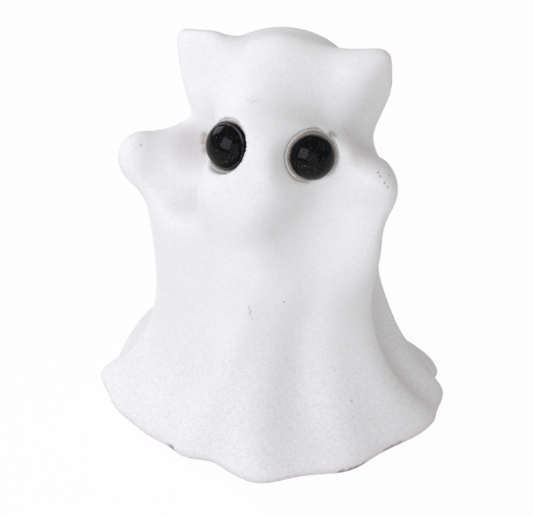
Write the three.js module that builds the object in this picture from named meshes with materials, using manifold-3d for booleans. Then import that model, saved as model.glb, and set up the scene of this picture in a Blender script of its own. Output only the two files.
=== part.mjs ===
// A cat under a ghost sheet, carved from one small piece of white stone, with two domed black eyes glued in.
// Units are millimetres. The front faces -Y, the viewer's right is +X and +Z is up.
// The origin lies in the middle of the flat base that the carving stands on.

import * as THREE from 'three';
import { mergeVertices } from 'three/addons/utils/BufferGeometryUtils.js';
import Module from 'manifold-3d';

// Size of the facets on the carved stone, smaller in height in a band round the hem
const FACET = 1.4;
const HEM_FACET = 0.8;
const HEM_BAND = 3.2;
const EVENING_PASSES = 3;
// Room left round the form where the facets are laid out
const LAYOUT_MARGIN = 2.05;

// The cloak: how far it reaches from the upright axis, at the hem, the waist and the chest
const HEM = { left: 22.8, right: 22.5, front: 19.1, back: 21.6 };
const WAIST = { left: 13.2, right: 12.6, front: 12.8, back: 9.0 };
const CHEST = { left: 16.5, right: 14.2, front: 12.9, back: 9.2 };
const FLARE_HEIGHT = 5.4;
// Below about this height the hem stands upright before it flares
const HEM_EDGE = 1.5;
const WAIST_LEVEL = 16.3;
const CHEST_LEVEL = 32.6;
const CHEST_SHIFT = 1.65;
const CLOAK_TOP = 38.8;
const CLOAK_SQUARENESS = 2.5;
// Across this width the left and right reaches, or the front and back ones, ease into each other
const SIDE_EASING = 6.0;
const HALF_TURN = 180;
const HEM_ROUNDING = 5.3;
// The rounded form runs on below the floor by this much, and the base is sawn flat at the floor
const SAWN_OFF = 0.4;

// Folds of the cloak. "turn" is the direction at the floor in degrees from the front, positive to the
// viewer's right. "twist" is how far it turns by the cloak's top, and "spread" is its width in degrees.
// A negative rise is a valley, and "reach" is the height over which the fold dies away.
const LEFT_DRAPE = { turn: -86.5, twist: 32, spread: 6.8, skew: 0.3, rise: 1.6, reach: 12.8 };
const LEFT_DRAPE_HOLLOW = { turn: -54, twist: 4, spread: 11, skew: 0, rise: -1.0, reach: 16 };
const LEFT_ARM_GROOVE = { turn: -27, twist: -13, spread: 17.5, skew: 0, rise: -1.5, reach: 60 };
const NARROW_RIDGE = { turn: -25, twist: 36, spread: 9.5, skew: 0, rise: 1.9, reach: 18 };
const FRONT_DRAPE = { turn: 14.5, twist: -45, spread: 22, skew: 0.15, rise: 4.2, reach: 11 };
const FRONT_VALLEY = { turn: 30, twist: 6, spread: 16, skew: -0.15, rise: -3.2, reach: 25 };
const VALLEY_LOBE = { turn: 36, twist: 0, spread: 14, skew: 0, rise: 2.5, reach: 8.5 };
const RIGHT_DRAPE = { turn: 80, twist: -16, spread: 12, skew: -0.25, rise: 3.0, reach: 32 };
const RIGHT_HEM_LOBE = { turn: 94, twist: 29, spread: 8.2, skew: -0.25, rise: 3.6, reach: 13.5 };
const RIGHT_ARM_DRAPE = { turn: 107, twist: 3.5, spread: 9, skew: 0.35, rise: 2.7, reach: 22 };
const RIGHT_BACK_DRAPE = { turn: 162, twist: 0, spread: 16, skew: 0, rise: 1.8, reach: 10 };
const LEFT_BACK_DRAPE = { turn: -150, twist: 0, spread: 15, skew: 0, rise: 1.7, reach: 10 };
const FRONT_HEM_LOBE = { turn: 1.5, twist: 0, spread: 13.5, skew: 0, rise: 0.8, reach: 13 };
const LEFT_ARM_DRAPE = { turn: -129, twist: -3, spread: 14, skew: 0, rise: 1.5, reach: 10 };
const FOLDS = [
  LEFT_DRAPE,
  LEFT_DRAPE_HOLLOW,
  LEFT_ARM_GROOVE,
  NARROW_RIDGE,
  FRONT_HEM_LOBE,
  FRONT_DRAPE,
  FRONT_VALLEY,
  VALLEY_LOBE,
  RIGHT_DRAPE,
  RIGHT_HEM_LOBE,
  RIGHT_ARM_DRAPE,
  RIGHT_BACK_DRAPE,
  LEFT_BACK_DRAPE,
  LEFT_ARM_DRAPE,
];

// Head, face and muzzle, each a rounded mass with a centre and three half sizes
const HEAD = { centre: [1.8, 3.7, 46.2], half: [9.6, 7.8, 7.5] };
const FACE = { centre: [1.1, -5.4, 41.4], half: [7.9, 7.8, 8.2] };
const MUZZLE = { centre: [-1.3, -8.7, 38.9], half: [4.8, 3.1, 2.9] };

// Ears: three sloping faces, each a turn and a tilt in degrees, meet at the tip,
// and a ball closes the ear towards the head. The ridge between front and back is rounder than the side.
const LEFT_EAR = {
  tip: [-15.0, 8.5, 53.4],
  front: [-35.5, 19.5],
  side: [-99.5, -28],
  back: [-201.5, 21.5],
  ridgeRounding: 4.5,
  sideRounding: 2.2,
  ball: [-9.4, 6.0, 48.2],
  ballRadius: 7.5,
};
const RIGHT_EAR = {
  tip: [17.1, 2.1, 60.0],
  front: [-3, 17],
  side: [50, -12],
  back: [182, 17],
  ridgeRounding: 4.5,
  sideRounding: 2.4,
  ball: [8.9, 2.4, 50.6],
  ballRadius: 10.5,
};
const EAR_BALL_ROUNDING = 3.0;

// Arms: tapered limbs from the shoulder to the raised paw
const LEFT_ARM = { shoulder: [-9.6, -1.8, 36.0], shoulderRadius: 3.2, paw: [-15.3, -3.8, 38.4], pawRadius: 2.8 };
const RIGHT_ARM = { shoulder: [10.2, -5.6, 41.4], shoulderRadius: 3.0, paw: [12.9, -5.9, 37.9], pawRadius: 5.0 };

// How softly the masses run into one another
const HEAD_BLEND = 3.6;
const EAR_BLEND = 1.8;
const BODY_BLEND = 6.5;
const LEFT_ARM_BLEND = 5.2;
const RIGHT_ARM_BLEND = 4.4;
const MUZZLE_BLEND = 5.6;

// Eye seats: the middle of each eye's girdle and the way it looks
const LEFT_SEAT = { at: [-3.0, -9.0, 44.8], turn: -26, tilt: 24 };
const RIGHT_SEAT = { at: [7.3, -7.8, 43.7], turn: 18, tilt: 24 };

// Dishes scooped round the eyes. Each is a ball that touches the bottom of its hollow and lies off it that way,
// and "width" is how softly its rim runs into the stone.
const LEFT_DISH = { bottom: LEFT_SEAT.at, turn: -38, tilt: 24, radius: 5.2, width: 1.5 };
const RIGHT_DISH = { bottom: RIGHT_SEAT.at, turn: 18, tilt: 24, radius: 6.0, width: 1.5 };

// Wider recesses made the same way: under the right eye, between the left arm and the cheek,
// and between the forehead and the right ear
const EYE_RECESS = { bottom: [9.0, -7.0, 36.2], turn: 20, tilt: -8, radius: 7.8, width: 5.6 };
const CHEEK_RECESS = { bottom: [-6.9, -3.0, 38.6], turn: -18, tilt: 8, radius: 4.6, width: 5.0 };
const EAR_RECESS = { bottom: [8.8, 0.8, 56.0], turn: 34, tilt: 61.5, radius: 6.2, width: 6.2 };

// Glued eyes: a drilled flat-bottomed socket, a thin cup of adhesive and a domed bead
const EYE_RADIUS = 3.0;
const EYE_DOME = 2.4;
const EYE_GIRDLE = 0.5;
const SOCKET_RADIUS = 3.45;
const SOCKET_DEPTH = 1.35;
const SOCKET_CLEARANCE = 0.2;
const GLUE_FLOOR = 0.45;
const GLUE_WALL = 0.15;
const GLUE_RISE = -0.1;
const ROUND_SEGMENTS = 36;
const DOME_RINGS = 7;

const wasm = await Module();
wasm.setup();

// A unit direction from a turn about the upright axis, 0 being the front, and a tilt above the horizon
function direction(turn, tilt) {
  const a = THREE.MathUtils.degToRad(turn);
  const e = THREE.MathUtils.degToRad(tilt);
  return new THREE.Vector3(Math.sin(a) * Math.cos(e), -Math.cos(a) * Math.cos(e), Math.sin(e));
}

// Joins two masses with a soft fillet of the given width
function join(a, b, width) {
  const h = Math.max(width - Math.abs(a - b), 0) / width;
  return Math.min(a, b) - h * h * width * 0.25;
}

// Keeps what two masses share, with a rounded edge of the given width
function trim(a, b, width) {
  return -join(-a, -b, width);
}

function smoothstep(t) {
  const s = Math.min(Math.max(t, 0), 1);
  return s * s * (3 - 2 * s);
}

// Distance outside an ellipsoid, negative inside it
function ellipsoid(p, shape) {
  const [a, b, c] = shape.half;
  const u = (p.x - shape.centre[0]) / a;
  const v = (p.y - shape.centre[1]) / b;
  const w = (p.z - shape.centre[2]) / c;
  const reach = Math.hypot(u, v, w) + 1e-9;
  const slope = Math.hypot(u / a, v / b, w / c) + 1e-9;
  return reach * (reach - 1) / slope;
}

function ball(p, centre, radius) {
  return Math.hypot(p.x - centre.x, p.y - centre.y, p.z - centre.z) - radius;
}

// Distance outside a limb whose radius eases from one end to the other
function limb(p, arm) {
  const [ax, ay, az] = arm.shoulder;
  const dx = arm.paw[0] - ax;
  const dy = arm.paw[1] - ay;
  const dz = arm.paw[2] - az;
  const along = ((p.x - ax) * dx + (p.y - ay) * dy + (p.z - az) * dz) / (dx * dx + dy * dy + dz * dz);
  const t = Math.min(Math.max(along, 0), 1);
  const radius = arm.shoulderRadius + (arm.pawRadius - arm.shoulderRadius) * smoothstep(t);
  return Math.hypot(p.x - ax - dx * t, p.y - ay - dy * t, p.z - az - dz * t) - radius;
}

// An ear is the corner where three sloping faces meet, held inside a ball
function makeEar(shape) {
  const tip = new THREE.Vector3(...shape.tip);
  const core = new THREE.Vector3(...shape.ball);
  const faces = [shape.front, shape.side, shape.back].map(([turn, tilt]) => {
    const normal = direction(turn, tilt);
    return { normal, offset: normal.dot(tip) };
  });
  return (p) => {
    const [front, side, back] = faces.map(({ normal, offset }) => normal.dot(p) - offset);
    const ridge = trim(front, back, shape.ridgeRounding);
    const corner = trim(ridge, side, shape.sideRounding);
    return trim(corner, ball(p, core, shape.ballRadius), EAR_BALL_ROUNDING);
  };
}

// Eases a four-way reach (left, right, front, back) into one radius for a direction
function cloakReach(x, y, reach) {
  const side = smoothstep(0.5 + x / SIDE_EASING);
  const rear = smoothstep(0.5 + y / SIDE_EASING);
  const a = reach.left + (reach.right - reach.left) * side;
  const b = reach.front + (reach.back - reach.front) * rear;
  const r = Math.hypot(x, y) + 1e-6;
  const u = Math.abs(x / r / a) ** CLOAK_SQUARENESS;
  const v = Math.abs(y / r / b) ** CLOAK_SQUARENESS;
  return (u + v) ** (-1 / CLOAK_SQUARENESS);
}

// The cloak is a column that narrows to the waist, flares to the hem and carries the folds
function cloak(p) {
  const height = Math.max(p.z, 0);
  const aboveEdge = p.z - HEM_EDGE;
  const flare = Math.exp(-0.5 * (aboveEdge + Math.hypot(aboveEdge, HEM_EDGE)) / FLARE_HEIGHT);
  const rise = smoothstep((height - WAIST_LEVEL) / (CHEST_LEVEL - WAIST_LEVEL));
  const x = p.x - CHEST_SHIFT * rise;
  const reach = {};
  for (const side of ['left', 'right', 'front', 'back']) {
    reach[side] = WAIST[side] + (CHEST[side] - WAIST[side]) * rise + (HEM[side] - WAIST[side]) * flare;
  }
  let radius = cloakReach(x, p.y, reach);
  const bearing = THREE.MathUtils.radToDeg(Math.atan2(x, -p.y));
  for (const fold of FOLDS) {
    const turned = bearing - fold.turn - fold.twist * (height / CLOAK_TOP);
    const away = THREE.MathUtils.euclideanModulo(turned + HALF_TURN, 2 * HALF_TURN) - HALF_TURN;
    const spread = fold.spread * (away > 0 ? 1 + fold.skew : 1 - fold.skew);
    radius += fold.rise * Math.exp(-((away / spread) ** 2)) * Math.exp(-((height / fold.reach) ** 1.5));
  }
  const wall = 0.8 * (Math.hypot(x, p.y) - radius);
  const capped = trim(wall, p.z - CLOAK_TOP, BODY_BLEND);
  return trim(capped, -p.z - SAWN_OFF, HEM_ROUNDING);
}

const leftEar = makeEar(LEFT_EAR);
const rightEar = makeEar(RIGHT_EAR);

// Each scoop is a ball that touches the stone at the bottom of its hollow
const scoops = [LEFT_DISH, RIGHT_DISH, EYE_RECESS, CHEEK_RECESS, EAR_RECESS].map(({ bottom, turn, tilt, radius, width }) => ({
  centre: new THREE.Vector3(...bottom).addScaledVector(direction(turn, tilt), radius),
  radius,
  width,
}));

// The whole carved form: negative inside the stone, zero on its surface
function carving(p) {
  let form = join(ellipsoid(p, HEAD), ellipsoid(p, FACE), HEAD_BLEND);
  form = join(form, leftEar(p), EAR_BLEND);
  form = join(form, rightEar(p), EAR_BLEND);
  form = join(form, cloak(p), BODY_BLEND);
  form = join(form, limb(p, LEFT_ARM), LEFT_ARM_BLEND);
  form = join(form, limb(p, RIGHT_ARM), RIGHT_ARM_BLEND);
  for (const scoop of scoops) {
    form = trim(form, -ball(p, scoop.centre, scoop.radius), scoop.width);
  }
  return join(form, ellipsoid(p, MUZZLE), MUZZLE_BLEND);
}

// Slides a point along the slope of the form until it lies on the surface
function settle(point) {
  const reach = FACET / 28;
  const slope = new THREE.Vector3();
  const probe = new THREE.Vector3();
  for (let pass = 0; pass < 4; pass += 1) {
    const depth = carving(point);
    for (const axis of ['x', 'y', 'z']) {
      probe.copy(point);
      probe[axis] += reach;
      const ahead = carving(probe);
      probe[axis] -= 2 * reach;
      slope[axis] = (ahead - carving(probe)) / (2 * reach);
    }
    const step = THREE.MathUtils.clamp(depth / Math.max(slope.lengthSq(), 0.05), -FACET / 4, FACET / 4);
    point.addScaledVector(slope, -step);
  }
  return point;
}

// Evenly spaced positions along one axis of the facet layout, closer together below the given band
function layoutSteps(from, to, band) {
  const steps = [];
  for (let at = from; at < to + FACET; at += at < band ? HEM_FACET : FACET) {
    steps.push(at);
  }
  return steps;
}

// The layout reaches past everything that could bound the form
function layout() {
  const reachOf = (...lengths) => Math.max(...lengths) + LAYOUT_MARGIN;
  const fullest = Math.max(...FOLDS.map((fold) => fold.rise));
  const sideways = reachOf(HEM.left + fullest, HEM.right + fullest);
  const frontBack = reachOf(HEM.front + fullest, HEM.back + fullest);
  const top = reachOf(LEFT_EAR.tip[2], RIGHT_EAR.tip[2], HEAD.centre[2] + HEAD.half[2]);
  return {
    xs: layoutSteps(-sideways, sideways, -Infinity),
    ys: layoutSteps(-frontBack, frontBack, -Infinity),
    zs: layoutSteps(-LAYOUT_MARGIN, top, HEM_BAND),
  };
}

// Evens out the facets: each point moves towards the middle of its neighbours and settles back on the form
function evenOut(points, triangles) {
  const neighbours = points.map(() => new Set());
  for (let t = 0; t < triangles.length; t += 3) {
    const [a, b, c] = triangles.slice(t, t + 3);
    neighbours[a].add(b).add(c);
    neighbours[b].add(a).add(c);
    neighbours[c].add(a).add(b);
  }
  for (let pass = 0; pass < EVENING_PASSES; pass += 1) {
    const middles = neighbours.map((near) => {
      const middle = new THREE.Vector3();
      near.forEach((n) => middle.add(points[n]));
      return middle.divideScalar(near.size);
    });
    points.forEach((point, n) => settle(point.lerp(middles[n], 0.5)));
  }
}

// A grid cell's corners are numbered by bits, 1 along x, 2 along y and 4 along z.
// An edge is its lower corner and the bit along which it runs.
const CELL_EDGES = [];
for (let lower = 0; lower < 8; lower += 1) {
  for (const bit of [1, 2, 4]) {
    if (!(lower & bit)) {
      CELL_EDGES.push({ lower, bit });
    }
  }
}

// A cell's faces, each as its four corners in order
const CELL_FACES = [];
for (const [across, u, v] of [[1, 2, 4], [2, 1, 4], [4, 1, 2]]) {
  for (const base of [0, across]) {
    CELL_FACES.push([base, base | u, base | u | v, base | v]);
  }
}

function edgeKey(lower, bit) {
  return 8 * lower + bit;
}

// Sorts the crossed edges of a cell into the separate sheets of surface that pass through it
function sheetsOf(inside) {
  const crossed = CELL_EDGES.filter(({ lower, bit }) => inside[lower] !== inside[lower | bit]);
  const leader = new Map(crossed.map(({ lower, bit }) => [edgeKey(lower, bit), edgeKey(lower, bit)]));
  const merge = (a, b) => {
    const from = leader.get(a);
    const to = leader.get(b);
    for (const [key, value] of leader) {
      if (value === from) {
        leader.set(key, to);
      }
    }
  };
  for (const face of CELL_FACES) {
    const sides = face.map((corner, n) => {
      const next = face[(n + 1) % 4];
      return edgeKey(corner & next, corner ^ next);
    });
    const cut = sides.filter((key) => leader.has(key));
    if (cut.length === 2) {
      merge(cut[0], cut[1]);
    } else if (cut.length === 4) {
      face.forEach((corner, n) => {
        if (inside[corner]) {
          merge(sides[n], sides[(n + 3) % 4]);
        }
      });
    }
  }
  const sheets = new Map();
  for (const edge of crossed) {
    const key = leader.get(edgeKey(edge.lower, edge.bit));
    sheets.set(key, [...(sheets.get(key) ?? []), edge]);
  }
  return [...sheets.values()];
}

// Wraps the form in facets: one point for each sheet of surface in each grid cell, joined across the edges
function wrapForm() {
  const { xs, ys, zs } = layout();
  const nx = xs.length;
  const ny = ys.length;
  const nz = zs.length;
  const index = (i, j, k) => i + nx * (j + ny * k);
  const depth = new Float64Array(nx * ny * nz);
  for (let k = 0; k < nz; k += 1) {
    for (let j = 0; j < ny; j += 1) {
      for (let i = 0; i < nx; i += 1) {
        depth[index(i, j, k)] = carving(new THREE.Vector3(xs[i], ys[j], zs[k]));
      }
    }
  }

  const points = [];
  const cellPoints = new Map();
  for (let k = 0; k < nz - 1; k += 1) {
    for (let j = 0; j < ny - 1; j += 1) {
      for (let i = 0; i < nx - 1; i += 1) {
        const corners = [];
        for (let n = 0; n < 8; n += 1) {
          const [di, dj, dk] = [n & 1, (n >> 1) & 1, (n >> 2) & 1];
          const at = new THREE.Vector3(xs[i + di], ys[j + dj], zs[k + dk]);
          corners.push({ at, depth: depth[index(i + di, j + dj, k + dk)] });
        }
        const inside = corners.map((corner) => corner.depth < 0);
        if (inside.includes(true) && inside.includes(false)) {
          const owners = new Map();
          for (const sheet of sheetsOf(inside)) {
            const middle = new THREE.Vector3();
            for (const { lower, bit } of sheet) {
              const from = corners[lower];
              const to = corners[lower | bit];
              middle.add(from.at.clone().lerp(to.at, from.depth / (from.depth - to.depth)));
              owners.set(edgeKey(lower, bit), points.length);
            }
            points.push(settle(middle.divideScalar(sheet.length)));
          }
          cellPoints.set(index(i, j, k), owners);
        }
      }
    }
  }

  // Each grid edge that the surface crosses gets a four-sided patch from the cells round it
  const triangles = [];
  const patch = (at, bit, u, v) => {
    const from = depth[index(...at)] < 0;
    const to = depth[index(at[0] + (bit & 1), at[1] + ((bit >> 1) & 1), at[2] + ((bit >> 2) & 1))] < 0;
    if (from === to) {
      return;
    }
    const [a, b, c, d] = [u | v, v, 0, u].map((back) => {
      const cell = index(at[0] - (back & 1), at[1] - ((back >> 1) & 1), at[2] - ((back >> 2) & 1));
      return cellPoints.get(cell).get(edgeKey(back, bit));
    });
    const short = points[a].distanceTo(points[c]) <= points[b].distanceTo(points[d]);
    const pair = short ? [[a, b, c], [a, c, d]] : [[a, b, d], [b, c, d]];
    for (const [p, q, r] of pair) {
      triangles.push(...(from ? [p, q, r] : [p, r, q]));
    }
  };
  for (let k = 1; k < nz - 1; k += 1) {
    for (let j = 1; j < ny - 1; j += 1) {
      for (let i = 1; i < nx - 1; i += 1) {
        patch([i, j, k], 1, 2, 4);
        patch([i, j, k], 2, 4, 1);
        patch([i, j, k], 4, 1, 2);
      }
    }
  }
  evenOut(points, triangles);
  const geometry = new THREE.BufferGeometry();
  geometry.setAttribute('position', new THREE.Float32BufferAttribute(points.flatMap((p) => p.toArray()), 3));
  geometry.setIndex(triangles);
  return geometry;
}

// Turns a closed geometry into a solid that can be cut
function toSolid(geometry) {
  const bare = geometry.clone();
  bare.deleteAttribute('normal');
  bare.deleteAttribute('uv');
  const merged = mergeVertices(bare, 1e-5);
  const mesh = new wasm.Mesh({
    numProp: 3,
    vertProperties: new Float32Array(merged.attributes.position.array),
    triVerts: new Uint32Array(merged.index.array),
  });
  return new wasm.Manifold(mesh);
}

function toGeometry(solid) {
  const mesh = solid.getMesh();
  const geometry = new THREE.BufferGeometry();
  geometry.setAttribute('position', new THREE.BufferAttribute(new Float32Array(mesh.vertProperties), 3));
  geometry.setIndex(new THREE.BufferAttribute(new Uint32Array(mesh.triVerts), 1));
  geometry.computeVertexNormals();
  return geometry;
}

// Places something made along +Y in an eye seat, so that +Y becomes the way the eye looks
function faceOut(object, seat) {
  object.position.set(...seat.at);
  object.quaternion.setFromUnitVectors(new THREE.Vector3(0, 1, 0), direction(seat.turn, seat.tilt));
  object.updateMatrixWorld(true);
  return object;
}

// The drill that cuts a flat-bottomed socket and clears the stone in front of it
function drill(seat) {
  const clearAbove = EYE_RADIUS;
  const length = SOCKET_DEPTH + clearAbove;
  const bit = new THREE.CylinderGeometry(SOCKET_RADIUS, SOCKET_RADIUS, length, ROUND_SEGMENTS);
  bit.translate(0, clearAbove - length / 2, 0);
  const placed = faceOut(new THREE.Object3D(), seat);
  bit.applyMatrix4(placed.matrixWorld);
  return toSolid(bit);
}

// The thin cup of set adhesive that lines the socket
function glueGeometry() {
  const outer = SOCKET_RADIUS - SOCKET_CLEARANCE;
  const inner = outer - GLUE_WALL;
  const bottom = SOCKET_CLEARANCE - SOCKET_DEPTH;
  const floor = bottom + GLUE_FLOOR;
  const profile = [
    new THREE.Vector2(0, bottom),
    new THREE.Vector2(outer, bottom),
    new THREE.Vector2(outer, GLUE_RISE),
    new THREE.Vector2(inner, GLUE_RISE),
    new THREE.Vector2(inner, floor),
    new THREE.Vector2(0, floor),
  ];
  return new THREE.LatheGeometry(profile, ROUND_SEGMENTS);
}

// The bead: a flat back, a short straight girdle and a dome
function beadGeometry() {
  const profile = [new THREE.Vector2(0, -EYE_GIRDLE), new THREE.Vector2(EYE_RADIUS, -EYE_GIRDLE)];
  for (let ring = 0; ring < DOME_RINGS; ring += 1) {
    const angle = (ring / DOME_RINGS) * (Math.PI / 2);
    profile.push(new THREE.Vector2(EYE_RADIUS * Math.cos(angle), EYE_DOME * Math.sin(angle)));
  }
  profile.push(new THREE.Vector2(0, EYE_DOME));
  return new THREE.LatheGeometry(profile, ROUND_SEGMENTS);
}

const STONE = new THREE.MeshStandardMaterial({ color: 0xe6e2e0, roughness: 0.62, metalness: 0 });
const BLACK = new THREE.MeshStandardMaterial({ color: 0x08080b, roughness: 0.08, metalness: 0 });
const GLUE = new THREE.MeshStandardMaterial({ color: 0x8f867f, roughness: 0.4, metalness: 0 });

function named(name, geometry, material) {
  const mesh = new THREE.Mesh(geometry, material.clone());
  mesh.name = name;
  return mesh;
}

function makeStone() {
  const slab = 4 * HEM.right;
  const floorCutter = new THREE.BoxGeometry(slab, slab, slab);
  floorCutter.translate(0, 0, -slab / 2);
  const solid = toSolid(wrapForm())
    .subtract(toSolid(floorCutter))
    .subtract(drill(LEFT_SEAT))
    .subtract(drill(RIGHT_SEAT));
  return named('stone_body', toGeometry(solid), STONE);
}

function makeEye(side, seat) {
  const eye = faceOut(new THREE.Group(), seat);
  eye.add(named(`${side}_glue_bed`, glueGeometry(), GLUE));
  eye.add(named(`${side}_eye`, beadGeometry(), BLACK));
  return eye;
}

const group = new THREE.Group();
group.add(makeStone());
group.add(makeEye('left', LEFT_SEAT));
group.add(makeEye('right', RIGHT_SEAT));

export default group;
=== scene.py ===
"""The looks of a small white stone cat under a ghost sheet, with two domed black eyes glued in.

Lengths are written in millimetres and turned into metres where a mesh is made.
The front faces -Y, the viewer's right is +X, +Z is up, and the base stands at z = 0.
"""

import math

import bpy
import numpy as np
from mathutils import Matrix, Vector, noise


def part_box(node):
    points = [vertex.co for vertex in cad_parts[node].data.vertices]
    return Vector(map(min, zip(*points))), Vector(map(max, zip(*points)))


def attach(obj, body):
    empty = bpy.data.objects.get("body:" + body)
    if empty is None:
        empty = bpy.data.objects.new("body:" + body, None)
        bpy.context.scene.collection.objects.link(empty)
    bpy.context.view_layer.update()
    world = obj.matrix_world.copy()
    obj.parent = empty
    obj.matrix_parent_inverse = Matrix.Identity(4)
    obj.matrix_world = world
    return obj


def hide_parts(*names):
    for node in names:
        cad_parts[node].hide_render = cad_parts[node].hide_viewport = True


MM = 0.001

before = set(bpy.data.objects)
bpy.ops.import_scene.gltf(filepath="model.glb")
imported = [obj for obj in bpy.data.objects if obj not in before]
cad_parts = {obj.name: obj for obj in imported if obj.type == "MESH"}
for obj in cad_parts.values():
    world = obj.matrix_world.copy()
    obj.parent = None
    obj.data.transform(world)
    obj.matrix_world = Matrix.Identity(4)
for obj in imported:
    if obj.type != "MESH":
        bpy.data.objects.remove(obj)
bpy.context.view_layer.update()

# The fine stone surface: its grid's step and the two corners of the space that it searches
STEP = 0.36
GRID_LOW = (-25.6, -24.0, -0.9)
GRID_HIGH = (26.0, 25.6, 57.6)

# The search: fine cells to a coarse one, how many coarse cells count as near, points worked out
# at once, and the limits that keep each move onto the surface small
COARSE_CELLS = 4
COARSE_MARGIN = 2.2
MOST_POINTS = 200000
LEAST_SLOPE = 0.05
LONGEST_MOVE = 0.3

# The cloak's reach from the upright axis: left, right, front, back
HEM = (22.8, 22.5, 19.1, 21.6)
WAIST = (13.2, 12.6, 12.8, 9.0)
CHEST = (16.5, 14.2, 12.9, 9.2)
FLARE_HEIGHT = 5.4
HEM_EDGE = 1.5
WAIST_LEVEL = 16.3
CHEST_LEVEL = 32.6
CHEST_SHIFT = 1.65
CLOAK_TOP = 38.8
CLOAK_SQUARENESS = 2.5
SIDE_EASING = 6.0
HEM_ROUNDING = 5.3
SAWN_OFF = 0.4
WALL_GAIN = 0.8
FOLD_FADING = 1.5

# Folds: turn and twist in degrees, spread in degrees, skew, rise, reach
LEFT_DRAPE = (-86.5, 32, 6.8, 0.3, 1.6, 12.8)
LEFT_DRAPE_HOLLOW = (-54, 4, 11, 0, -1.0, 16)
LEFT_ARM_GROOVE = (-27, -13, 17.5, 0, -1.5, 60)
NARROW_RIDGE = (-25, 36, 9.5, 0, 1.9, 18)
FRONT_HEM_LOBE = (1.5, 0, 13.5, 0, 0.8, 13)
FRONT_DRAPE = (14.5, -45, 22, 0.15, 4.2, 11)
FRONT_VALLEY = (30, 6, 16, -0.15, -3.2, 25)
VALLEY_LOBE = (36, 0, 14, 0, 2.5, 8.5)
RIGHT_DRAPE = (80, -16, 12, -0.25, 3.0, 32)
RIGHT_HEM_LOBE = (94, 29, 8.2, -0.25, 3.6, 13.5)
RIGHT_ARM_DRAPE = (107, 3.5, 9, 0.35, 2.7, 22)
RIGHT_BACK_DRAPE = (162, 0, 16, 0, 1.8, 10)
LEFT_BACK_DRAPE = (-150, 0, 15, 0, 1.7, 10)
LEFT_ARM_DRAPE = (-129, -3, 14, 0, 1.5, 10)
FOLDS = (
    LEFT_DRAPE,
    LEFT_DRAPE_HOLLOW,
    LEFT_ARM_GROOVE,
    NARROW_RIDGE,
    FRONT_HEM_LOBE,
    FRONT_DRAPE,
    FRONT_VALLEY,
    VALLEY_LOBE,
    RIGHT_DRAPE,
    RIGHT_HEM_LOBE,
    RIGHT_ARM_DRAPE,
    RIGHT_BACK_DRAPE,
    LEFT_BACK_DRAPE,
    LEFT_ARM_DRAPE,
)

# Head, face and muzzle: centre and half sizes
HEAD = ((1.8, 3.7, 46.2), (9.6, 7.8, 7.5))
FACE = ((1.1, -5.4, 41.4), (7.9, 7.8, 8.2))
MUZZLE = ((-1.3, -8.7, 38.9), (4.8, 3.1, 2.9))

# Ears: tip, the three faces' turn and tilt, the two roundings, and the closing ball
LEFT_EAR = dict(
    tip=(-15.0, 8.5, 53.4),
    front=(-35.5, 19.5),
    side=(-99.5, -28),
    back=(-201.5, 21.5),
    ridge=4.5,
    edge=2.2,
    ball=(-9.4, 6.0, 48.2),
    radius=7.5,
)
RIGHT_EAR = dict(
    tip=(17.1, 2.1, 60.0),
    front=(-3, 17),
    side=(50, -12),
    back=(182, 17),
    ridge=4.5,
    edge=2.4,
    ball=(8.9, 2.4, 50.6),
    radius=10.5,
)
EAR_BALL_ROUNDING = 3.0

# Arms: shoulder and its radius, paw and its radius
LEFT_ARM = ((-9.6, -1.8, 36.0), 3.2, (-15.3, -3.8, 38.4), 2.8)
RIGHT_ARM = ((10.2, -5.6, 41.4), 3.0, (12.9, -5.9, 37.9), 5.0)

HEAD_BLEND = 3.6
EAR_BLEND = 1.8
BODY_BLEND = 6.5
LEFT_ARM_BLEND = 5.2
RIGHT_ARM_BLEND = 4.4
MUZZLE_BLEND = 5.6

# Eye seats: the middle of the bead's girdle, and its turn and tilt
LEFT_SEAT = ((-3.0, -9.0, 44.8), -26, 24)
RIGHT_SEAT = ((7.3, -7.8, 43.7), 18, 24)

# Scoops: the point touched, turn, tilt, the ball's radius and the width of its blend
LEFT_DISH = (LEFT_SEAT[0], -38, 24, 5.2, 1.5)
RIGHT_DISH = (RIGHT_SEAT[0], 18, 24, 6.0, 1.5)
EYE_RECESS = ((9.0, -7.0, 36.2), 20, -8, 7.8, 5.6)
CHEEK_RECESS = ((-6.9, -3.0, 38.6), -18, 8, 4.6, 5.0)
EAR_RECESS = ((8.8, 0.8, 56.0), 34, 61.5, 6.2, 6.2)
SCOOPS = (LEFT_DISH, RIGHT_DISH, EYE_RECESS, CHEEK_RECESS, EAR_RECESS)

# Glued eyes
EYE_RADIUS = 3.0
EYE_DOME = 2.4
EYE_GIRDLE = 0.5
EYE_BACK_EDGE = ((0.15, 0), (0.04, 0.05), (0, 0.16))
ROUND_STEPS = 96
DOME_STEPS = 28
SOCKET_RADIUS = 3.45
SOCKET_DEPTH = 1.35
SOCKET_CLEARANCE = 0.2
SOCKET_LIP = 0.2
GLUE_FILM = 0.04
LEFT_CREEP = 0.3
RIGHT_CREEP = 0.85
CREEP_WAVE = 0.16
SLOW_WAVE = 2.6
FAST_WAVE = 7
FAST_WAVE_SHARE = 0.5
LEAST_CREEP = 0.05
GLUE_BELOW_RIM = 0.2
GLUE_ABOVE_CREEP = 0.25
GLUE_SAG = 0.12
GLUE_BEVEL = 0.1

# The glue's outer lip inwards and upwards, the steps where it meets the bead outwards and downwards,
# and the heights between which the stone's edge round a socket is looked for
GLUE_LIP = (0.08, 0.03)
GLUE_TOE = ((0.06, 0.02), (0, 0.06))
RIM_SEARCH = (-1.0, 3.0)
RIM_HALVINGS = 18

# A thin light ring inside each bead's edge, a painted reflection, as distances from its seat
RING_INSIDE = 2.895
RING_MIDDLE = 2.93
RING_OUTSIDE = 2.96
REFLECTION_RING_GREY = (0.13, 0.13, 0.15)
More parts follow.
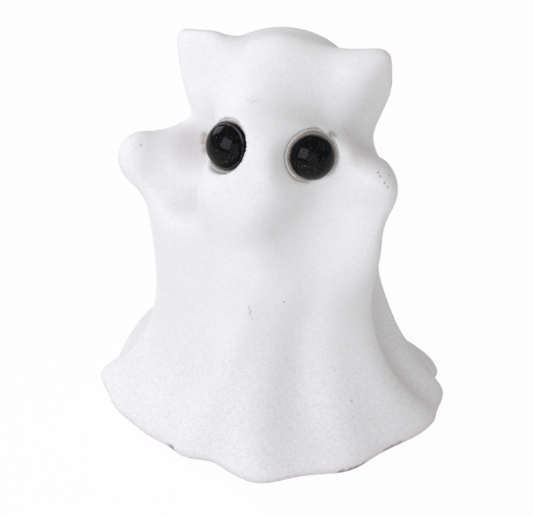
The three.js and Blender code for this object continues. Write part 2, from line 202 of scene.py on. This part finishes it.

# Marks on the stone: places, the radius of the full tint, the radius where it ends, and the tint
# Painted shadow: dark marks low on the hem that stand in for the shade under its edge at the floor
HEM_SHADOW_TINT = (0.42, 0.38, 0.39)
HEM_SHADOW_LEFT = dict(places=((-9.7, -16.0, 1.1),), core=0.4, reach=1.1, tint=HEM_SHADOW_TINT)
HEM_SHADOW_FRONT = dict(
    places=((13.2, -16.5, 0.7), (14.1, -15.9, 0.7), (15.0, -15.2, 0.7), (15.8, -14.5, 0.7)),
    core=0.4,
    reach=0.9,
    tint=HEM_SHADOW_TINT,
)
HEM_SHADOW_RIGHT = dict(
    places=((18.4, -11.1, 0.8), (19.1, -10.4, 0.8), (19.8, -9.6, 0.8)),
    core=0.4,
    reach=1.15,
    tint=HEM_SHADOW_TINT,
)
# Painted shade in the crease between the left arm and the left eye
ARM_CREASE_PAINTED_SHADE = dict(places=((-8.6, -1.5, 39.4),), core=0.5, reach=5.0, tint=(0.75, 0.73, 0.72))
# Partly a brown glue stain and partly painted shade, left of the left eye
GLUE_STAIN_AND_PAINTED_SHADE = dict(
    places=((-7.7, -0.6, 40.5), (-7.7, -1.2, 39.8), (-7.4, -1.8, 39.0)),
    core=0.1,
    reach=0.8,
    tint=(0.62, 0.55, 0.5),
)
# A grey patch above and right of the right eye's socket
GREY_PATCH_BY_RIGHT_EYE = dict(places=((9.5, -4.9, 45.4),), core=0.2, reach=0.9, tint=(0.55, 0.53, 0.52))
STAR_MARK = dict(
    places=(
        (-0.6, -5.6, 49.5),
        (-1.2, -5.2, 49.8),
        (0.0, -5.7, 49.5),
        (-0.5, -6.0, 49.0),
        (-0.8, -4.9, 50.2),
    ),
    core=0.1,
    reach=0.6,
    tint=(0.93, 0.915, 0.92),
)
CRACK = dict(
    places=(
        (0.4, -13.5, 23.6),
        (0.45, -13.5, 23.3),
        (0.6, -13.5, 22.9),
        (0.65, -13.5, 22.6),
        (0.8, -13.5, 22.1),
        (0.85, -13.5, 21.8),
    ),
    core=0.02,
    reach=0.27,
    tint=(0.8, 0.73, 0.7),
)
GREY_SPECKS = dict(
    places=((4.7, -12.1, 24.0), (13.3, -10.0, 7.8), (-15.1, -4.9, 40.8), (16.9, -5.8, 40.7)),
    core=0.05,
    reach=0.22,
    tint=(0.6, 0.56, 0.55),
)
BROWN_SPECKS = dict(
    places=((15.6, -6.5, 41.4), (15.9, -6.8, 41.1), (16.5, -6.9, 40.2), (16.9, -6.8, 39.5)),
    core=0.05,
    reach=0.25,
    tint=(0.68, 0.5, 0.42),
)
# Partly the glue's own dark brown and partly painted shade of the narrow gap: the glue is darkest next
# to each bead
DARK_GLUE_AND_GAP_SHADE = dict(places=(LEFT_SEAT[0], RIGHT_SEAT[0]), core=3.08, reach=3.38, tint=(0.42, 0.37, 0.33))

# Colours of the materials
WHITE = (1, 1, 1)
BLACK = (0, 0, 0)
STONE_GREYER = (0.87, 0.86, 0.865)
STONE_WHITER = (0.9, 0.89, 0.905)
SUGAR_GREY = (0.95, 0.95, 0.95)
COARSE_GREY = (0.925, 0.925, 0.925)
BEAD_BLACK = (0.002, 0.002, 0.003)
BEAD_DUST = (0.12, 0.12, 0.13)
RING_GAP = (0.15, 0.15, 0.15)
GLUE_DARK = (0.54, 0.515, 0.495)
GLUE_PALE = (0.76, 0.745, 0.735)

# The stone's tint by height: pinkish at the hem's rim, and a coarser grain on the lower skirt
RIM_HEIGHTS = (0.8, 2.6)
RIM_TINT = (0.93, 0.885, 0.91)
COARSE_HEIGHTS = (8, 26)


def direction(turn, tilt):
    a = math.radians(turn)
    e = math.radians(tilt)
    return np.array([math.sin(a) * math.cos(e), -math.cos(a) * math.cos(e), math.sin(e)])


def join(a, b, width):
    h = np.maximum(width - np.abs(a - b), 0) / width
    return np.minimum(a, b) - h * h * width * 0.25


def trim(a, b, width):
    return -join(-a, -b, width)


def smoothstep(t):
    s = np.clip(t, 0, 1)
    return s * s * (3 - 2 * s)


def ellipsoid(p, shape):
    centre, half = np.array(shape[0]), np.array(shape[1])
    q = (p - centre) / half
    reach = np.linalg.norm(q, axis=1) + 1e-9
    slope = np.linalg.norm(q / half, axis=1) + 1e-9
    return reach * (reach - 1) / slope


def ball(p, centre, radius):
    return np.linalg.norm(p - np.array(centre), axis=1) - radius


def limb(p, arm):
    shoulder, shoulder_radius, paw, paw_radius = arm
    start = np.array(shoulder)
    run = np.array(paw) - start
    t = np.clip((p - start) @ run / (run @ run), 0, 1)
    radius = shoulder_radius + (paw_radius - shoulder_radius) * smoothstep(t)
    return np.linalg.norm(p - start - t[:, None] * run, axis=1) - radius


def ear(p, shape):
    tip = np.array(shape["tip"])
    front, side, back = ((p - tip) @ direction(*shape[face]) for face in ("front", "side", "back"))
    corner = trim(trim(front, back, shape["ridge"]), side, shape["edge"])
    return trim(corner, ball(p, shape["ball"], shape["radius"]), EAR_BALL_ROUNDING)


def cloak(p):
    height = np.maximum(p[:, 2], 0)
    above = p[:, 2] - HEM_EDGE
    flare = np.exp(-0.5 * (above + np.hypot(above, HEM_EDGE)) / FLARE_HEIGHT)
    rise = smoothstep((height - WAIST_LEVEL) / (CHEST_LEVEL - WAIST_LEVEL))
    x = p[:, 0] - CHEST_SHIFT * rise
    y = p[:, 1]
    reaches = zip(HEM, WAIST, CHEST)
    left, right, front, back = (w + (c - w) * rise + (h - w) * flare for h, w, c in reaches)
    a = left + (right - left) * smoothstep(0.5 + x / SIDE_EASING)
    b = front + (back - front) * smoothstep(0.5 + y / SIDE_EASING)
    r = np.hypot(x, y) + 1e-6
    n = CLOAK_SQUARENESS
    radius = (np.abs(x / r / a) ** n + np.abs(y / r / b) ** n) ** (-1 / n)
    bearing = np.degrees(np.arctan2(x, -y))
    for turn, twist, spread, skew, lift, reach in FOLDS:
        away = (bearing - turn - twist * (height / CLOAK_TOP) + 180) % 360 - 180
        width = spread * np.where(away > 0, 1 + skew, 1 - skew)
        fading = np.exp(-((height / reach) ** FOLD_FADING))
        radius = radius + lift * np.exp(-((away / width) ** 2)) * fading
    wall = WALL_GAIN * (np.hypot(x, y) - radius)
    capped = trim(wall, p[:, 2] - CLOAK_TOP, BODY_BLEND)
    return trim(capped, -p[:, 2] - SAWN_OFF, HEM_ROUNDING)


def carving(p):
    """Negative inside the stone and zero on its surface, before the sockets are drilled."""
    form = join(ellipsoid(p, HEAD), ellipsoid(p, FACE), HEAD_BLEND)
    form = join(form, ear(p, LEFT_EAR), EAR_BLEND)
    form = join(form, ear(p, RIGHT_EAR), EAR_BLEND)
    form = join(form, cloak(p), BODY_BLEND)
    form = join(form, limb(p, LEFT_ARM), LEFT_ARM_BLEND)
    form = join(form, limb(p, RIGHT_ARM), RIGHT_ARM_BLEND)
    for bottom, turn, tilt, radius, width in SCOOPS:
        centre = np.array(bottom) + direction(turn, tilt) * radius
        form = trim(form, -ball(p, centre, radius), width)
    return join(form, ellipsoid(p, MUZZLE), MUZZLE_BLEND)


def drill(p, seat):
    """Negative inside the flat-bottomed hole drilled for an eye, which is open towards the front."""
    at, turn, tilt = seat
    axis = direction(turn, tilt)
    q = p - np.array(at)
    along = q @ axis
    across = np.linalg.norm(q - along[:, None] * axis, axis=1)
    hole = np.maximum(across - SOCKET_RADIUS, -SOCKET_DEPTH - along)
    return np.maximum(hole, along - EYE_RADIUS)


def stone(p):
    form = carving(p)
    for seat in (LEFT_SEAT, RIGHT_SEAT):
        form = trim(form, -drill(p, seat), SOCKET_LIP)
    return np.maximum(form, -p[:, 2])


def slope(field, p, reach=0.03):
    out = np.empty_like(p)
    for axis in range(3):
        step = np.zeros(3)
        step[axis] = reach
        out[:, axis] = (field(p + step) - field(p - step)) / (2 * reach)
    return out


def settle(field, p, passes=3):
    for _ in range(passes):
        g = slope(field, p)
        size = np.maximum((g * g).sum(1), LEAST_SLOPE)
        p = p - g * np.clip(field(p) / size, -LONGEST_MOVE, LONGEST_MOVE)[:, None]
    return p


def wrap(field, low, high, step, passes=3):
    """Wraps the form in four-sided facets: one point in each grid cell that the surface crosses."""
    axes = [np.arange(a, b + step, step) for a, b in zip(low, high)]
    shape = tuple(len(a) for a in axes)
    rough_axes = [a[::COARSE_CELLS] for a in axes]
    rough = np.stack(np.meshgrid(*rough_axes, indexing="ij"), -1).reshape(-1, 3)
    rough_depth = field(rough).reshape([len(a) for a in rough_axes])
    pick = [np.minimum(np.arange(n) // COARSE_CELLS, len(a) - 1) for n, a in zip(shape, rough_axes)]
    depth = rough_depth[np.ix_(*pick)].copy()
    near = np.abs(depth) < COARSE_CELLS * step * COARSE_MARGIN
    where = np.argwhere(near)
    points = np.stack([axes[n][where[:, n]] for n in range(3)], 1)
    chunks = np.array_split(points, max(1, len(points) // MOST_POINTS))
    depth[near] = np.concatenate([field(chunk) for chunk in chunks])

    cells = tuple(n - 1 for n in shape)
    total = np.zeros((cells[0] * cells[1] * cells[2], 3))
    count = np.zeros(len(total))
    crossings = []
    for axis in range(3):
        lower = [slice(None)] * 3
        upper = [slice(None)] * 3
        lower[axis] = slice(0, -1)
        upper[axis] = slice(1, None)
        da, db = depth[tuple(lower)], depth[tuple(upper)]
        at = np.argwhere((da < 0) != (db < 0))
        fa, fb = da[tuple(at.T)], db[tuple(at.T)]
        place = np.stack([axes[n][at[:, n]] for n in range(3)], 1)
        place[:, axis] += step * fa / (fa - fb)
        u, v = [(1, 2), (2, 0), (0, 1)][axis]
        ring = []
        for du, dv in ((1, 1), (0, 1), (0, 0), (1, 0)):
            cell = at.copy()
            cell[:, u] -= du
            cell[:, v] -= dv
            flat = np.ravel_multi_index(tuple(cell.T), cells, mode="clip")
            ring.append(flat)
            for n in range(3):
                total[:, n] += np.bincount(flat, place[:, n], len(total))
            count += np.bincount(flat, minlength=len(total))
        ring = np.stack(ring, 1)
        ring[fa >= 0] = ring[fa >= 0][:, ::-1]
        crossings.append(ring)
    used = np.flatnonzero(count)
    number = np.full(len(total), -1)
    number[used] = np.arange(len(used))
    verts = total[used] / count[used][:, None]
    quads = number[np.concatenate(crossings)]

    pairs = np.concatenate([quads[:, [n, (n + 1) % 4]] for n in range(4)])
    valence = np.bincount(pairs.ravel(), minlength=len(verts))[:, None]
    verts = settle(field, verts)
    for _ in range(passes):
        middle = np.zeros_like(verts)
        for n in range(3):
            middle[:, n] = np.bincount(pairs[:, 0], verts[pairs[:, 1], n], len(verts))
            middle[:, n] += np.bincount(pairs[:, 1], verts[pairs[:, 0], n], len(verts))
        verts = settle(field, (verts + middle / valence) / 2, 2)
    return verts, quads


def make_mesh(name, verts, faces):
    mesh = bpy.data.meshes.new(name)
    mesh.from_pydata([tuple(v) for v in verts], [], [tuple(f) for f in faces])
    mesh.validate()
    mesh.shade_smooth()
    made = bpy.data.objects.new(name, mesh)
    bpy.context.scene.collection.objects.link(made)
    return made


def fit_to_box(verts, node):
    """Keeps the fine surface inside its plainer solid's box."""
    low, high = (np.array(c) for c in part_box(node))
    a, b = verts.min(0), verts.max(0)
    return low + (verts - a) * (high - low) / (b - a)


def make_stone():
    verts, quads = wrap(stone, GRID_LOW, GRID_HIGH, STEP)
    verts = fit_to_box(verts * MM, "stone_body")
    made = make_mesh("carved_stone", verts, quads)
    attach(made, "root")
    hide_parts("stone_body")
    return made


def seat_turn(seat):
    """Turns +Z into the way the eye looks."""
    return Vector((0, 0, 1)).rotation_difference(Vector(direction(seat[1], seat[2])))


def turned(profile):
    """A closed turned piece about +Z from (radius, height) points that start and end on the axis."""
    rings = ROUND_STEPS
    verts = [(0, 0, profile[0][1])]
    for radius, height in profile[1:-1]:
        for n in range(rings):
            a = 2 * math.pi * n / rings
            verts.append((radius * math.cos(a), radius * math.sin(a), height))
    verts.append((0, 0, profile[-1][1]))
    last = len(verts) - 1
    faces = []
    rows = len(profile) - 2
    for n in range(rings):
        m = (n + 1) % rings
        faces.append((0, 1 + m, 1 + n))
        for row in range(rows - 1):
            a = 1 + row * rings
            faces.append((a + n, a + m, a + rings + m, a + rings + n))
        a = 1 + (rows - 1) * rings
        faces.append((a + n, a + m, last))
    return verts, faces


def place_in_seat(verts, seat):
    turn = seat_turn(seat)
    at = Vector(seat[0])
    return [(at + turn @ Vector(v)) * MM for v in verts]


def make_eye(side, seat):
    profile = [(0, -EYE_GIRDLE)]
    profile += [(EYE_RADIUS - inwards, upwards - EYE_GIRDLE) for inwards, upwards in EYE_BACK_EDGE]
    for n in range(DOME_STEPS):
        a = math.pi / 2 * n / DOME_STEPS
        profile.append((EYE_RADIUS * math.cos(a), EYE_DOME * math.sin(a)))
    profile.append((0, EYE_DOME))
    verts, faces = turned(profile)
    made = make_mesh(f"{side}_bead", place_in_seat(verts, seat), faces)
    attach(made, "root")
    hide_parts(f"{side}_eye")
    return made


def rim_height(seat, x, y):
    """How high above the seat the stone stands at one place on the socket's wall."""
    at, turn, tilt = seat
    turn_back = seat_turn(seat)
    axis = direction(turn, tilt)
    foot = np.array(at) + np.array(turn_back @ Vector((x, y, 0)))
    low, high = RIM_SEARCH
    for _ in range(RIM_HALVINGS):
        middle = (low + high) / 2
        inside = carving((foot + axis * middle)[None])[0] < 0
        low, high = (middle, high) if inside else (low, middle)
    return low


def make_glue(side, seat, creep, seed):
    """The ring of set adhesive that fills the socket round the bead and creeps up it unevenly."""
    outer = SOCKET_RADIUS - GLUE_FILM
    bottom = SOCKET_CLEARANCE - SOCKET_DEPTH
    floor = -EYE_GIRDLE - GLUE_FILM
    rings = ROUND_STEPS
    rows = []
    for n in range(rings):
        a = 2 * math.pi * n / rings
        x, y = math.cos(a), math.sin(a)
        wave = noise.noise(Vector((x * SLOW_WAVE, y * SLOW_WAVE, seed))) * CREEP_WAVE
        fast = noise.noise(Vector((x * FAST_WAVE, y * FAST_WAVE, seed)))
        wave += fast * CREEP_WAVE * FAST_WAVE_SHARE
        contact = max(creep + wave, LEAST_CREEP)
        touch = EYE_RADIUS * math.sqrt(1 - (contact / EYE_DOME) ** 2) + GLUE_FILM
        rim = rim_height(seat, x * SOCKET_RADIUS, y * SOCKET_RADIUS)
        edge = min(rim - GLUE_BELOW_RIM, contact + GLUE_ABOVE_CREEP)
        sag = (edge + contact) / 2 - GLUE_SAG
        profile = [(outer - GLUE_BEVEL, bottom), (outer, bottom + GLUE_BEVEL), (outer, edge)]
        profile += [(outer - GLUE_LIP[0], edge + GLUE_LIP[1]), ((outer + touch) / 2, sag)]
        profile += [(touch + outwards, contact - downwards) for outwards, downwards in GLUE_TOE]
        profile += [(EYE_RADIUS + GLUE_FILM, 0), (EYE_RADIUS + GLUE_FILM, floor)]
        rows.append([(r * x, r * y, z) for r, z in profile])
    columns = len(rows[0])
    verts = [v for row in rows for v in row]
    verts += [(0, 0, bottom), (0, 0, floor)]
    under, over = len(verts) - 2, len(verts) - 1
    faces = []
    for n in range(rings):
        here, there = n * columns, ((n + 1) % rings) * columns
        faces.append((under, there, here))
        for k in range(columns - 1):
            faces.append((here + k, there + k, there + k + 1, here + k + 1))
        faces.append((over, here + columns - 1, there + columns - 1))
    made = make_mesh(f"{side}_adhesive", place_in_seat(verts, seat), faces)
    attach(made, "root")
    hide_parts(f"{side}_glue_bed")
    return made


class Surface:
    """A Principled material with short calls for the few texture nodes that are used here."""

    def __init__(self, name):
        self.material = bpy.data.materials.new(name)
        self.material.use_nodes = True
        self.nodes = self.material.node_tree.nodes
        self.links = self.material.node_tree.links
        self.shader = next(n for n in self.nodes if n.type == "BSDF_PRINCIPLED")
        self.place = self.nodes.new("ShaderNodeTexCoord").outputs["Object"]

    def grain(self, size, detail=3.0, roughness=0.6):
        node = self.nodes.new("ShaderNodeTexNoise")
        node.inputs["Scale"].default_value = 1 / (size * MM)
        node.inputs["Detail"].default_value = detail
        node.inputs["Roughness"].default_value = roughness
        self.links.new(self.place, node.inputs["Vector"])
        return node.outputs["Fac"]

    def ramp(self, source, *stops):
        node = self.nodes.new("ShaderNodeValToRGB")
        while len(node.color_ramp.elements) < len(stops):
            node.color_ramp.elements.new(0.5)
        for element, (at, colour) in zip(node.color_ramp.elements, stops):
            element.position = at
            element.color = (*colour, 1)
        self.links.new(source, node.inputs["Fac"])
        return node.outputs["Color"]

    def multiply(self, a, b):
        node = self.nodes.new("ShaderNodeMix")
        node.data_type = "RGBA"
        node.blend_type = "MULTIPLY"
        node.inputs[0].default_value = 1.0
        self.links.new(a, node.inputs[6])
        self.links.new(b, node.inputs[7])
        return node.outputs[2]

    def lighten(self, colour, where, tint):
        """Goes from the colour to a constant tint where the share is one."""
        node = self.nodes.new("ShaderNodeMix")
        node.data_type = "RGBA"
        node.inputs[7].default_value = (*tint, 1)
        self.links.new(where, node.inputs[0])
        self.links.new(colour, node.inputs[6])
        return node.outputs[2]

    def blend(self, share, a, b):
        """Goes from the first colour to the second one as the share goes from none to one."""
        node = self.nodes.new("ShaderNodeMix")
        node.data_type = "RGBA"
        self.links.new(share, node.inputs[0])
        self.links.new(a, node.inputs[6])
        self.links.new(b, node.inputs[7])
        return node.outputs[2]

    def waver(self, amount, size):
        """Object coordinates pushed about a little, so that the edges drawn from them aren't smooth."""
        cloud = self.nodes.new("ShaderNodeTexNoise")
        cloud.inputs["Scale"].default_value = 1 / (size * MM)
        self.links.new(self.place, cloud.inputs["Vector"])
        push = self.nodes.new("ShaderNodeVectorMath")
        push.operation = "MULTIPLY_ADD"
        push.inputs[1].default_value = (2 * amount * MM,) * 3
        push.inputs[2].default_value = (-amount * MM,) * 3
        self.links.new(cloud.outputs["Color"], push.inputs[0])
        moved = self.nodes.new("ShaderNodeVectorMath")
        moved.operation = "ADD"
        self.links.new(self.place, moved.inputs[0])
        self.links.new(push.outputs[0], moved.inputs[1])
        return moved.outputs[0]

    def fade(self, source, low, high, tint):
        """Goes from a tint at the low value to white at the high one."""
        span = self.nodes.new("ShaderNodeMapRange")
        span.interpolation_type = "SMOOTHSTEP"
        span.inputs["From Min"].default_value = low * MM
        span.inputs["From Max"].default_value = high * MM
        self.links.new(source, span.inputs["Value"])
        return self.ramp(span.outputs["Result"], (0, tint), (1, WHITE))

    def distance(self, where, place):
        node = self.nodes.new("ShaderNodeVectorMath")
        node.operation = "DISTANCE"
        node.inputs[1].default_value = [c * MM for c in place]
        self.links.new(where, node.inputs[0])
        return node.outputs["Value"]

    def mark(self, colour, where, places, core, reach, tint):
        """Tints the colour round each place: fully within the core, and not at all beyond the reach."""
        for place in places:
            colour = self.multiply(colour, self.fade(self.distance(where, place), core, reach, tint))
        return colour

    def bump(self, height, strength, distance):
        node = self.nodes.new("ShaderNodeBump")
        node.inputs["Strength"].default_value = strength
        node.inputs["Distance"].default_value = distance * MM
        self.links.new(height, node.inputs["Height"])
        self.links.new(node.outputs["Normal"], self.shader.inputs["Normal"])

    def set(self, **values):
        for name, value in values.items():
            self.shader.inputs[name.replace("_", " ")].default_value = value

    def colour(self, source):
        self.links.new(source, self.shader.inputs["Base Color"])


def stone_material():
    look = Surface("sugary_white_stone")
    clouds = look.ramp(look.grain(9.0, detail=4), (0.35, STONE_GREYER), (0.65, STONE_WHITER))
    sugar = look.ramp(look.grain(0.35, 2, 0.7), (0.36, SUGAR_GREY), (0.55, WHITE))
    colour = look.multiply(clouds, sugar)
    split = look.nodes.new("ShaderNodeSeparateXYZ")
    look.links.new(look.place, split.inputs[0])
    coarse = look.ramp(look.grain(0.33, 3, 0.7), (0.4, COARSE_GREY), (0.52, WHITE))
    lower = look.fade(split.outputs["Z"], *COARSE_HEIGHTS, BLACK)
    colour = look.blend(lower, look.multiply(colour, coarse), colour)
    colour = look.multiply(colour, look.fade(split.outputs["Z"], *RIM_HEIGHTS, RIM_TINT))
    ragged = look.waver(amount=0.3, size=0.8)
    # Painted shadow low on the hem
    for mark in (HEM_SHADOW_LEFT, HEM_SHADOW_FRONT, HEM_SHADOW_RIGHT):
        colour = look.mark(colour, ragged, **mark)
    # Painted shade in the crease between the left arm and the left eye
    colour = look.mark(colour, look.place, **ARM_CREASE_PAINTED_SHADE)
    # Partly a glue stain and partly painted shade, left of the left eye
    colour = look.mark(colour, look.waver(amount=0.4, size=0.25), **GLUE_STAIN_AND_PAINTED_SHADE)
    colour = look.mark(colour, ragged, **GREY_PATCH_BY_RIGHT_EYE)
    colour = look.mark(colour, ragged, **STAR_MARK)
    colour = look.mark(colour, ragged, **CRACK)
    colour = look.mark(colour, look.place, **GREY_SPECKS)
    colour = look.mark(colour, look.place, **BROWN_SPECKS)
    look.colour(colour)
    look.set(Roughness=0.55, Subsurface_Weight=0.35)
    look.set(Subsurface_Radius=(1.0, 0.8, 0.7), Subsurface_Scale=1.2 * MM)
    look.bump(look.grain(0.4, detail=4, roughness=0.65), strength=0.2, distance=0.1)
    return look.material


def bead_material():
    look = Surface("polished_black")
    dust_and_painted_reflection = look.ramp(look.grain(0.16, 1, 0.5), (0.68, BEAD_BLACK), (0.77, BEAD_DUST))
    blotches = look.ramp(look.grain(0.5, 2, 0.6), (0.4, RING_GAP), (0.6, WHITE))
    # Painted reflection: a thin light ring near each bead's edge, broken into blotches
    for seat in (LEFT_SEAT, RIGHT_SEAT):
        away = look.distance(look.place, seat[0])
        inner = look.fade(away, RING_INSIDE, RING_MIDDLE, BLACK)
        outer = look.fade(away, RING_OUTSIDE, RING_MIDDLE, BLACK)
        ring = look.multiply(look.multiply(inner, outer), blotches)
        dust_and_painted_reflection = look.lighten(dust_and_painted_reflection, ring, REFLECTION_RING_GREY)
    look.colour(dust_and_painted_reflection)
    look.set(Roughness=0.08)
    look.shader.inputs["Specular IOR Level"].default_value = 0.13
    return look.material


def glue_material():
    look = Surface("set_adhesive")
    crumbs = look.ramp(look.grain(0.22, 3, 0.6), (0.38, GLUE_DARK), (0.6, GLUE_PALE))
    ragged = look.waver(amount=0.15, size=0.3)
    # Darkest next to the bead: partly the glue's colour, partly painted shade of the gap
    look.colour(look.mark(crumbs, ragged, **DARK_GLUE_AND_GAP_SHADE))
    look.set(Roughness=0.5)
    return look.material


def dress(made, material):
    made.data.materials.clear()
    made.data.materials.append(material)


stone_look = stone_material()
bead_look = bead_material()
glue_look = glue_material()
dress(make_stone(), stone_look)
eyes = (("left", LEFT_SEAT, LEFT_CREEP, 3.1), ("right", RIGHT_SEAT, RIGHT_CREEP, 7.7))
for side, seat, creep, seed in eyes:
    dress(make_eye(side, seat), bead_look)
    dress(make_glue(side, seat, creep, seed), glue_look)

# The camera stands where the photograph was taken from
CAMERA_TURN = 10.4
CAMERA_TILT = 35.0
CAMERA_DISTANCE = 450.0
MM_PER_PIXEL = 0.1304
PICTURE_WIDTH = 533
AIM_RIGHT = 0.2
AIM_HEIGHT = 21.9
SENSOR_WIDTH = 36.0

camera = bpy.data.objects.new("camera", bpy.data.cameras.new("camera"))
bpy.context.scene.collection.objects.link(camera)
back = Vector(direction(CAMERA_TURN, CAMERA_TILT))
aside = Vector((math.cos(math.radians(CAMERA_TURN)), math.sin(math.radians(CAMERA_TURN)), 0))
aim = (aside * AIM_RIGHT + Vector((0, 0, AIM_HEIGHT))) * MM
camera.location = aim + back * CAMERA_DISTANCE * MM
camera.rotation_mode = "QUATERNION"
camera.rotation_quaternion = (-back).to_track_quat("-Z", "Y")
camera.data.sensor_width = SENSOR_WIDTH
camera.data.lens = SENSOR_WIDTH * CAMERA_DISTANCE / (MM_PER_PIXEL * PICTURE_WIDTH)
camera.data.clip_start = 0.01
camera.data.clip_end = 10
bpy.context.scene.camera = camera

# The floor: half its side in metres, its colour, and how much of it is plain white to the camera
FLOOR_HALF = 3.0
FLOOR_COLOUR = (0.86, 0.86, 0.86)
FLOOR_GLOW = 0.96
FLOOR_DROP = 0.02


def make_floor():
    size = FLOOR_HALF
    corners = [(-size, -size, 0), (size, -size, 0), (size, size, 0), (-size, size, 0)]
    floor = make_mesh("floor", corners, [(0, 1, 2, 3)])
    look = Surface("pale_floor")
    material, nodes, links, shader = look.material, look.nodes, look.links, look.shader
    shader.inputs["Base Color"].default_value = (*FLOOR_COLOUR, 1)
    shader.inputs["Roughness"].default_value = 0.9
    shader.inputs["Specular IOR Level"].default_value = 0.1
    glow = nodes.new("ShaderNodeEmission")
    glow.inputs["Color"].default_value = (1, 1, 1, 1)
    glow.inputs["Strength"].default_value = 1.0
    mix = nodes.new("ShaderNodeMixShader")
    path = nodes.new("ShaderNodeLightPath")

    def arithmetic(operation, a, b):
        node = nodes.new("ShaderNodeMath")
        node.operation = operation
        node.use_clamp = True
        links.new(a, node.inputs[0])
        if isinstance(b, float):
            node.inputs[1].default_value = b
        else:
            links.new(b, node.inputs[1])
        return node.outputs[0]

    seen = arithmetic("ADD", path.outputs["Is Camera Ray"], path.outputs["Is Glossy Ray"])
    seen = arithmetic("ADD", seen, path.outputs["Is Transmission Ray"])
    share = arithmetic("MULTIPLY", seen, FLOOR_GLOW)
    links.new(share, mix.inputs["Fac"])
    links.new(shader.outputs[0], mix.inputs[1])
    links.new(glow.outputs[0], mix.inputs[2])
    out = next(n for n in nodes if n.type == "OUTPUT_MATERIAL")
    links.new(mix.outputs[0], out.inputs["Surface"])
    dress(floor, material)
    floor.location.z = -FLOOR_DROP * MM


make_floor()

WARM_WHITE = (1.0, 0.967, 0.91)
WORLD_STRENGTH = 0.38

world = bpy.data.worlds.new("studio")
bpy.context.scene.world = world
world.use_nodes = True
backdrop = world.node_tree.nodes["Background"]
backdrop.inputs["Color"].default_value = (*WARM_WHITE, 1)
backdrop.inputs["Strength"].default_value = WORLD_STRENGTH

# Softboxes: the turn and tilt of the way to each, its side in metres and its power in watts
COOL_WHITE = (0.905, 0.932, 1.0)
SOFTBOX_DISTANCE = 0.7
SOFTBOX_AIM = Vector((0, 0, 0.025))
SOFTBOXES = {
    "front_softbox": (-24, 35, 0.5, 2.5),
    "low_softbox": (20, 20, 0.5, 0.58),
    "left_softbox": (-120, 30, 0.4, 1.75),
    "right_softbox": (95, 45, 0.4, 0.16),
}


def softbox(name, turn, tilt, size, power):
    light = bpy.data.lights.new(name, "AREA")
    light.shape = "SQUARE"
    light.size = size
    light.energy = power
    light.color = COOL_WHITE
    lamp = bpy.data.objects.new(name, light)
    bpy.context.scene.collection.objects.link(lamp)
    way = Vector(direction(turn, tilt))
    lamp.location = SOFTBOX_AIM + way * SOFTBOX_DISTANCE
    lamp.rotation_mode = "QUATERNION"
    lamp.rotation_quaternion = (-way).to_track_quat("-Z", "Y")


for name, values in SOFTBOXES.items():
    softbox(name, *values)

bpy.context.scene.view_settings.view_transform = "Standard"
